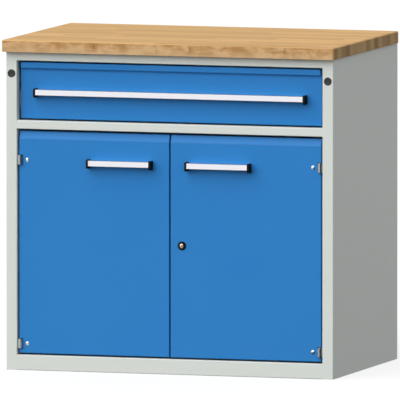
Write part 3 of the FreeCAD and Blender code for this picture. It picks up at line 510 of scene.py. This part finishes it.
# Looks of the record's slots.
LOOKS = {
    "body_grey": powder_coat("grey_coat", GREY, GREY_PALE_AND_SHEEN, arris_share=0.03, arris=0.0002),
    "front_blue": powder_coat("blue_coat", BLUE, BLUE_PALE_AND_SHEEN, arris_share=0.6, arris=0.002),
    "beech": Beech().material,
    "label_white": paper_label(),
    "aluminium": plated(
        "aluminium_profile", ALUMINIUM, ALUMINIUM_DULL, DRAWN_ALONG_X, rough=0.14, front=ALUMINIUM_LIP_SHADE
    ),
    "black_plastic": moulded("black_plastic", BLACK, BLACK_PALE, rough=0.42, specular=0.35),
    "nickel": plated("nickel_plate", NICKEL, NICKEL_DULL, EVEN_GRAIN, rough=0.26),
    "zinc_steel": plated("zinc_plate", ZINC, ZINC_DULL, DRAWN_ALONG_Y, rough=0.4),
}

# Finishes that differ from the rest of their slot.
JET = moulded("jet_plastic", JET_BLACK, BLACK, rough=0.6, specular=0.1)
BARREL = plated("turned_barrel", BARREL_STEEL, BARREL_DULL, DRAWN_ALONG_Z, rough=0.14)
CORE = plated("lock_core", CORE_METAL, CORE_DULL, EVEN_GRAIN, rough=0.24)
BARREL_NODES = ("hinge_door_leaves", "hinge_frame_leaves", "hinge_pins")


def paint(piece, look):
    """Gives a piece one material."""
    piece.data.materials.clear()
    piece.data.materials.append(look)


def dress_frame():
    """Gives every node of the frame the look of its slot, and the hinges their barrel finish."""
    slots = {part["node"]: part["material_slot"] for part in frame["record"]["subparts"]}
    for name, piece in frame["nodes"].items():
        paint(piece, BARREL if name.endswith(BARREL_NODES) else LOOKS[slots[name]])


def piece_from(mesh, name, slot, body, node=None, sharp=35, look=None):
    """Turns a finished mesh into a piece that rides on a body and may stand for a node."""
    bmesh.ops.recalc_face_normals(mesh, faces=mesh.faces)
    data = bpy.data.meshes.new(name)
    mesh.to_mesh(data)
    mesh.free()
    piece = bpy.data.objects.new(name, data)
    bpy.context.scene.collection.objects.link(piece)
    data.shade_smooth()
    data.set_sharp_from_angle(angle=math.radians(sharp))
    paint(piece, look or LOOKS[slot])
    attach(piece, body)
    if node:
        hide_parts(node)


def loft(mesh, made, closed=False):
    """Joins rings of as many points each in order, and closes the run or its two ends."""
    pairs = list(zip(made, made[1:]))
    if closed:
        pairs.append((made[-1], made[0]))
    else:
        mesh.faces.new(made[0])
        mesh.faces.new(reversed(made[-1]))
    for near, far in pairs:
        for step in range(len(near)):
            after = (step + 1) % len(near)
            mesh.faces.new((near[step], far[step], far[after], near[after]))


# Points on each ring of a turned piece, and the small ease at the mouth of a recess.
SEGMENTS = 48
MOUTH_EASE = 0.0001


def turn(mesh, centre, rings, closed=False):
    """Adds a piece turned about an axis along Y: rings of a shape at a place along it, joined in order."""
    made = []
    for shape, place in rings:
        ring = []
        for step in range(SEGMENTS):
            angle = 2 * math.pi * step / SEGMENTS
            reach = shape(angle)
            spot = (centre[0] + reach * math.cos(angle), place, centre[1] + reach * math.sin(angle))
            ring.append(mesh.verts.new(spot))
        made.append(ring)
    loft(mesh, made, closed)


def round_ring(radius):
    return lambda angle: radius


def polygon_ring(corner, sides):
    """A ring shaped as a regular polygon, by its outer radius."""
    turn_by = 2 * math.pi / sides
    flat = corner * math.cos(turn_by / 2)
    return lambda angle: flat / math.cos(angle % turn_by - turn_by / 2)


def slot_ring(half_width, half_height):
    """A ring shaped as an upright slot."""
    def reach(angle):
        wide = half_width / max(abs(math.cos(angle)), 1e-6)
        tall = half_height / max(abs(math.sin(angle)), 1e-6)
        return min(wide, tall)
    return reach


def cross_ring(half_width, half_length):
    """A ring shaped as a cross."""
    upright = slot_ring(half_width, half_length)
    level = slot_ring(half_length, half_width)
    return lambda angle: max(upright(angle), level(angle))


def profile(points, face):
    """Round rings from points that give a radius and a distance along Y from a face."""
    return [(round_ring(radius), face + distance) for radius, distance in points]


def arc(radius, start, place, height, steps=5):
    """Round rings that ease a rim: from its crown outward, and along Y by a height."""
    rings = []
    for step in range(steps + 1):
        angle = math.pi / 2 * step / steps
        reach = start + (radius - start) * math.sin(angle)
        rings.append((round_ring(reach), place + height * (1 - math.cos(angle))))
    return rings


def dome(radius, start, place, height, steps=6):
    """Round rings over a dome: from near its crown out to its rim, which lies back by a height."""
    reaches = [start + (radius - start) * step / steps for step in range(steps + 1)]
    return [(round_ring(reach), place + height * (reach / radius) ** 2) for reach in reaches]


# Hinge screws: height of the head and its dome, radius of the shank, and the hexagon socket.
HINGE_HEAD = 0.0024
HINGE_DOME = 0.002
HINGE_SHANK = 0.0025
SOCKET_FLOOR = 0.0011
SOCKET_MOUTH = 0.0013
SOCKET_RIM = 0.0016
SOCKET_DEPTH = 0.0014


def hinge_screws():
    """Domed screw heads with a hexagon socket on the doors' hinge leaves."""
    for side in ("left", "right"):
        node = f"{side}_hinge_screws"
        low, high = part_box(node)
        radius = (high.x - low.x) / 2
        x = (high.x + low.x) / 2
        face = low.y
        seat = face + HINGE_HEAD
        rings = [(polygon_ring(SOCKET_FLOOR, 6), face + SOCKET_DEPTH)]
        rings += [(polygon_ring(SOCKET_MOUTH, 6), face + MOUTH_EASE)]
        rings += dome(radius, SOCKET_RIM, face, HINGE_DOME, steps=8)
        rings += [(round_ring(radius), seat)]
        rings += [(round_ring(HINGE_SHANK), seat), (round_ring(HINGE_SHANK), high.y)]
        mesh = bmesh.new()
        for z in (low.z + radius, high.z - radius):
            turn(mesh, (x, z), rings)
        piece_from(mesh, f"{side}_hinge_screw_heads", "nickel", f"{side}_door", node, sharp=40)


# Post plugs: the dished middle by radius and depth, then the rim and the stem.
PLUG_DISH = ((0.0008, 0.0008), (0.0045, 0.0008), (0.0062, 0.0004), (0.0075, 0.0001))
PLUG_CROWN = 0.0085
PLUG_RIM = 0.0015
PLUG_STEM = 0.0095


def post_plugs():
    """Plastic plugs with an eased rim and a dished middle."""
    low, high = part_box("post_plugs")
    z = (low.z + high.z) / 2
    radius = (high.z - low.z) / 2
    face = low.y
    seat = face + PLUG_RIM
    rings = profile(PLUG_DISH, face)
    rings += arc(radius, PLUG_CROWN, face, seat - face)
    rings += [(round_ring(PLUG_STEM), seat), (round_ring(PLUG_STEM), high.y)]
    mesh = bmesh.new()
    for x in (low.x + radius, high.x - radius):
        turn(mesh, (x, z), rings)
    piece_from(mesh, "post_plug_caps", "black_plastic", "carcass", "post_plugs")


# Lock: the rosette, its stem and its bore.
ROSETTE_CROWN = 0.0095
ROSETTE_HEIGHT = 0.003
HOUSING_RADIUS = 0.0095
BORE_RADIUS = 0.00625
BORE_MOUTH = 0.0068
BORE_EASE = 0.0006


def lock_middle():
    """Place of the lock's axis along X and Z."""
    low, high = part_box("lock_housing")
    return (low.x + high.x) / 2, (low.z + high.z) / 2


def lock_rosette():
    """Lock housing with a rounded rosette, and a bore for the core."""
    low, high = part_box("lock_housing")
    face, back = low.y, high.y
    seat = face + ROSETTE_HEIGHT
    rings = [(round_ring(BORE_RADIUS), face + BORE_EASE), (round_ring(BORE_MOUTH), face)]
    rings += arc((high.x - low.x) / 2, ROSETTE_CROWN, face, seat - face)
    rings += [(round_ring(HOUSING_RADIUS), seat), (round_ring(HOUSING_RADIUS), back)]
    rings += [(round_ring(BORE_RADIUS), back)]
    mesh = bmesh.new()
    turn(mesh, lock_middle(), rings, closed=True)
    piece_from(mesh, "lock_rosette", "black_plastic", "right_door", "lock_housing", look=JET)


# Lock core: its dome, the keyway by half width and half height, and the square and hexagon behind it.
CORE_RADIUS = 0.0062
CORE_CROWN = 0.0039
CORE_DOME = 0.0017
CORE_RISE = 0.001
KEYWAY_FLOOR = (0.0005, 0.0028)
KEYWAY_WALL = (0.0006, 0.003)
KEYWAY_MOUTH = (0.0008, 0.0033)
KEYWAY_DEPTH = 0.008
KEYWAY_EASE = 0.0003
TAIL_SQUARE = 0.004
TAIL_HEXAGON = 0.0055
TAIL_LENGTH = 0.0045
TAIL_HEAD = 0.0015


def lock_core():
    """The turning core with its keyway, and a square and a hexagon behind it for the cam."""
    low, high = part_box("lock_plug")
    face, back = low.y, high.y
    crown = face - CORE_RISE
    shoulder = back - TAIL_LENGTH
    head = back - TAIL_HEAD
    rings = [(slot_ring(*KEYWAY_FLOOR), face + KEYWAY_DEPTH)]
    rings += [(slot_ring(*KEYWAY_WALL), crown + KEYWAY_EASE), (slot_ring(*KEYWAY_MOUTH), crown + MOUTH_EASE)]
    rings += dome(CORE_RADIUS, CORE_CROWN, crown, CORE_DOME)
    rings += [(round_ring(CORE_RADIUS), shoulder)]
    rings += [(polygon_ring(TAIL_SQUARE, 4), shoulder), (polygon_ring(TAIL_SQUARE, 4), head)]
    rings += [(polygon_ring(TAIL_HEXAGON, 6), head), (polygon_ring(TAIL_HEXAGON, 6), back)]
    mesh = bmesh.new()
    turn(mesh, lock_middle(), rings)
    piece_from(mesh, "lock_core", "nickel", "lock", "lock_plug", sharp=40, look=CORE)


# Handles, each on the body of the same name, and their end caps.
HANDLES = ("drawer", "left_door", "right_door")
CAP_WIDTH = 0.007
CAP_NOSE = 0.004
CAP_EASE = 0.0007


def cap_outline(near, far, low, high, steps=6):
    """Side view of an end cap: square at the panel, rounded in front."""
    points = [(far, low), (far, high)]
    for y, z, start in ((near + CAP_NOSE, high - CAP_NOSE, 90), (near + CAP_NOSE, low + CAP_NOSE, 180)):
        for step in range(steps + 1):
            angle = math.radians(start + 90 * step / steps)
            points.append((y + CAP_NOSE * math.cos(angle), z + CAP_NOSE * math.sin(angle)))
    return points


def handle_caps():
    """Handle end caps with eased edges all round."""
    for name in HANDLES:
        node = f"{name}_handle_caps"
        low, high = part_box(node)
        outline = cap_outline(low.y, high.y, low.z, high.z)
        mesh = bmesh.new()
        for near, far in ((low.x, low.x + CAP_WIDTH), (high.x - CAP_WIDTH, high.x)):
            ends = [[mesh.verts.new((x, y, z)) for y, z in outline] for x in (near, far)]
            loft(mesh, ends)
            edges = [mesh.edges.get(pair) for end in ends for pair in zip(end, end[1:] + end[:1])]
            bmesh.ops.bevel(mesh, geom=edges, offset=CAP_EASE, segments=2, profile=0.6, affect="EDGES")
        piece_from(mesh, f"{name}_handle_end_caps", "black_plastic", name, node, sharp=50, look=JET)


# Handle screws: the pan head, the shank, and the cross recess by half width and half length.
PAN_CROWN = 0.0026
PAN_HEIGHT = 0.0026
PAN_SHANK = 0.0019
CROSS_FLOOR = (0.0004, 0.0015)
CROSS_MOUTH = (0.0006, 0.0022)
CROSS_DEPTH = 0.0013


def handle_screws():
    """Pan-head screws with a cross recess, which hold the handles from behind."""
    for name in HANDLES:
        node = f"{name}_handle_screws"
        low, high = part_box(node)
        radius = (high.z - low.z) / 2
        z = (low.z + high.z) / 2
        crown = high.y
        seat = crown - PAN_HEIGHT
        rings = [(cross_ring(*CROSS_FLOOR), crown - CROSS_DEPTH), (cross_ring(*CROSS_MOUTH), crown)]
        rings += arc(radius, PAN_CROWN, crown, seat - crown)
        rings += [(round_ring(PAN_SHANK), seat), (round_ring(PAN_SHANK), low.y)]
        mesh = bmesh.new()
        for x in (low.x + radius, high.x - radius):
            turn(mesh, (x, z), rings)
        piece_from(mesh, f"{name}_handle_screw_heads", "zinc_steel", name, node, sharp=40)


# Ground welds between rails and posts, in the groove beside the fold of each post.
SEAM_RAILS = ("top_front_rail", "middle_rail", "bottom_rail")
SEAM_WIDTH = 0.0028
SEAM_LAP = 0.0003
SEAM_ROOT = 0.003
SEAM_SINK = 0.00003
SEAM_RIPPLE = 0.00004
SEAM_PITCH = 0.0025
SEAM_END = 0.0012


def rail_seams():
    """Ground welds that close the grooves between the rails and the posts, with a faint ripple."""
    mesh = bmesh.new()
    for rail in SEAM_RAILS:
        low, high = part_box(rail)
        foot = low.z + SEAM_END
        span = high.z - low.z - 2 * SEAM_END
        steps = round(span / SEAM_PITCH)
        face = low.y + SEAM_SINK
        for end, side in ((low.x, -1), (high.x, 1)):
            inner = end - side * SEAM_LAP
            outer = end + side * SEAM_WIDTH
            rows = []
            for step in range(steps + 1):
                crest = ((inner + outer) / 2, face + SEAM_RIPPLE * (step % 2))
                spots = ((inner, face), crest, (outer, face), (inner, face + SEAM_ROOT))
                rows.append([mesh.verts.new((x, y, foot + span * step / steps)) for x, y in spots])
            loft(mesh, rows)
    piece_from(mesh, "rail_weld_seams", "body_grey", "carcass")


# Spot welds on the back: each mark is a low ring, given by radius and height.
WELD_MARK = (
    (0.0046, -0.0002),
    (0.0042, 0.0001),
    (0.0035, 0.00045),
    (0.003, 0.0005),
    (0.0024, 0.0003),
    (0.0008, 0.0001),
)
WELD_PITCH = 0.085
WELD_MARGIN = 0.0125


def spot_welds():
    """Shallow weld marks on the back: on the side panels' flanges, the top rear rail and the base."""
    low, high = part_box("left_side_panel")
    panel_low, panel_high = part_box("back_panel")
    marks = []
    flange = -low.x - WELD_MARGIN
    rows = round((high.z - low.z) / WELD_PITCH)
    for row in range(rows):
        z = (row + 0.5) * (high.z - low.z) / rows
        marks += [(-flange, high.y, z), (flange, high.y, z)]
    columns = round((panel_high.x - panel_low.x) / WELD_PITCH)
    heights = [(part[0].z + part[1].z) / 2 for part in (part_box("top_rear_rail"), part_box("base_panel"))]
    for column in range(1, columns - 1):
        x = panel_low.x + (column + 0.5) * (panel_high.x - panel_low.x) / columns
        marks += [(x, panel_high.y, z) for z in heights]
    mesh = bmesh.new()
    for x, face, z in marks:
        turn(mesh, (x, z), profile(WELD_MARK, face))
    piece_from(mesh, "rear_spot_welds", "body_grey", "carcass")


# Floor: half its width, its drop below the object, its shade, its share of plain white, and its glow.
WHITE = (1, 1, 1, 1)
FLOOR_HALF = 30
FLOOR_DROP = 0.0005
FLOOR_SHADE = (0.9, 0.9, 0.9, 1)
FLOOR_WHITE = 0.8
FLOOR_GLOW = 0.22


def stage_material():
    """Pale floor: white to the eye apart from a soft shadow, and an even glow on the object from below."""
    material = bpy.data.materials.new("pale_floor")
    look = Nodes(material, "OutputMaterial")
    seen = look.add("LightPath").outputs
    glow = look.add("Emission", {"Color": WHITE, "Strength": FLOOR_GLOW}).outputs[0]
    shade = look.add("BsdfDiffuse", {"Color": FLOOR_SHADE}).outputs[0]
    white = look.add("Emission", {"Color": WHITE}).outputs[0]
    place = look.add("TexCoord").outputs["Object"]
    direction = look.add("VectorMath", {0: place}, operation="NORMALIZE").outputs[0]
    mirrored = look.add("Emission", {"Color": look.surroundings(direction)}).outputs[0]
    indirect = look.math("MAXIMUM", seen["Is Glossy Ray"], seen["Is Transmission Ray"])
    unseen = look.mix(indirect, glow, mirrored)
    look.feed(look.end, look.mix(seen["Is Camera Ray"], unseen, look.mix(FLOOR_WHITE, shade, white)))
    return material


def floor():
    """Large pale floor under the object."""
    corners = [(-1, -1), (1, -1), (1, 1), (-1, 1)]
    data = bpy.data.meshes.new("floor")
    data.from_pydata([(x * FLOOR_HALF, y * FLOOR_HALF, 0) for x, y in corners], [], [(0, 1, 2, 3)])
    data.materials.append(stage_material())
    piece = bpy.data.objects.new("floor", data)
    piece.location.z = -FLOOR_DROP
    bpy.context.scene.collection.objects.link(piece)


# Soft light from all round.
SKY = (0.97, 0.985, 1, 1)
SKY_LEVEL = 0.64


def sky():
    """White surroundings to the eye, dim on the right in reflections, and an even soft light."""
    world = bpy.data.worlds.new("studio")
    bpy.context.scene.world = world
    look = Nodes(world, "OutputWorld")
    seen = look.add("LightPath").outputs
    light = look.add("Background", {"Color": SKY, "Strength": SKY_LEVEL}).outputs[0]
    direct = look.math("MAXIMUM", seen["Is Camera Ray"], seen["Is Transmission Ray"])
    fade = look.surroundings(look.add("TexCoord").outputs["Generated"])
    white = look.add("Background", {"Color": look.math("MAXIMUM", direct, fade)}).outputs[0]
    look.feed(look.end, look.mix(look.math("MAXIMUM", direct, seen["Is Glossy Ray"]), light, white))


def lamp(name, energy, spread, colour, towards):
    """A soft far light, by the direction that it comes from."""
    data = bpy.data.lights.new(name, "SUN")
    data.energy = energy
    data.angle = math.radians(spread)
    data.color = colour
    holder = bpy.data.objects.new(name, data)
    holder.rotation_euler = Vector(towards).to_track_quat("Z", "Y").to_euler()
    bpy.context.scene.collection.objects.link(holder)


# Camera: the photograph is almost a parallel view. Lens and sensor are in millimetres.
AZIMUTH = 17.385
ELEVATION = 5.15
AIM = Vector((-0.00452, 0, 0.48472))
FRAME_WIDTH = 1.1736
LENS = 1680
SENSOR = 36


def camera():
    """Long lens at the photograph's angle."""
    data = bpy.data.cameras.new("camera")
    data.sensor_width = SENSOR
    data.lens = LENS
    around = math.radians(AZIMUTH)
    above = math.radians(ELEVATION)
    level = math.cos(above)
    back = Vector((math.sin(around) * level, -math.cos(around) * level, math.sin(above)))
    distance = FRAME_WIDTH * LENS / SENSOR
    data.clip_end = distance * 2
    holder = bpy.data.objects.new("camera", data)
    holder.location = AIM + back * distance
    holder.rotation_euler = back.to_track_quat("Z", "Y").to_euler()
    bpy.context.scene.collection.objects.link(holder)
    bpy.context.scene.camera = holder


dress_frame()
hinge_screws()
post_plugs()
lock_rosette()
lock_core()
handle_caps()
handle_screws()
rail_seams()
spot_welds()
floor()
sky()
lamp("key", energy=2.77, spread=70, colour=(1, 0.985, 0.96), towards=(-0.42, -0.66, 0.66))
lamp("fill", energy=0.43, spread=60, colour=(1, 0.95, 0.925), towards=(1, -0.1, 0.1))
camera()
bpy.context.scene.view_settings.view_transform = "Standard"
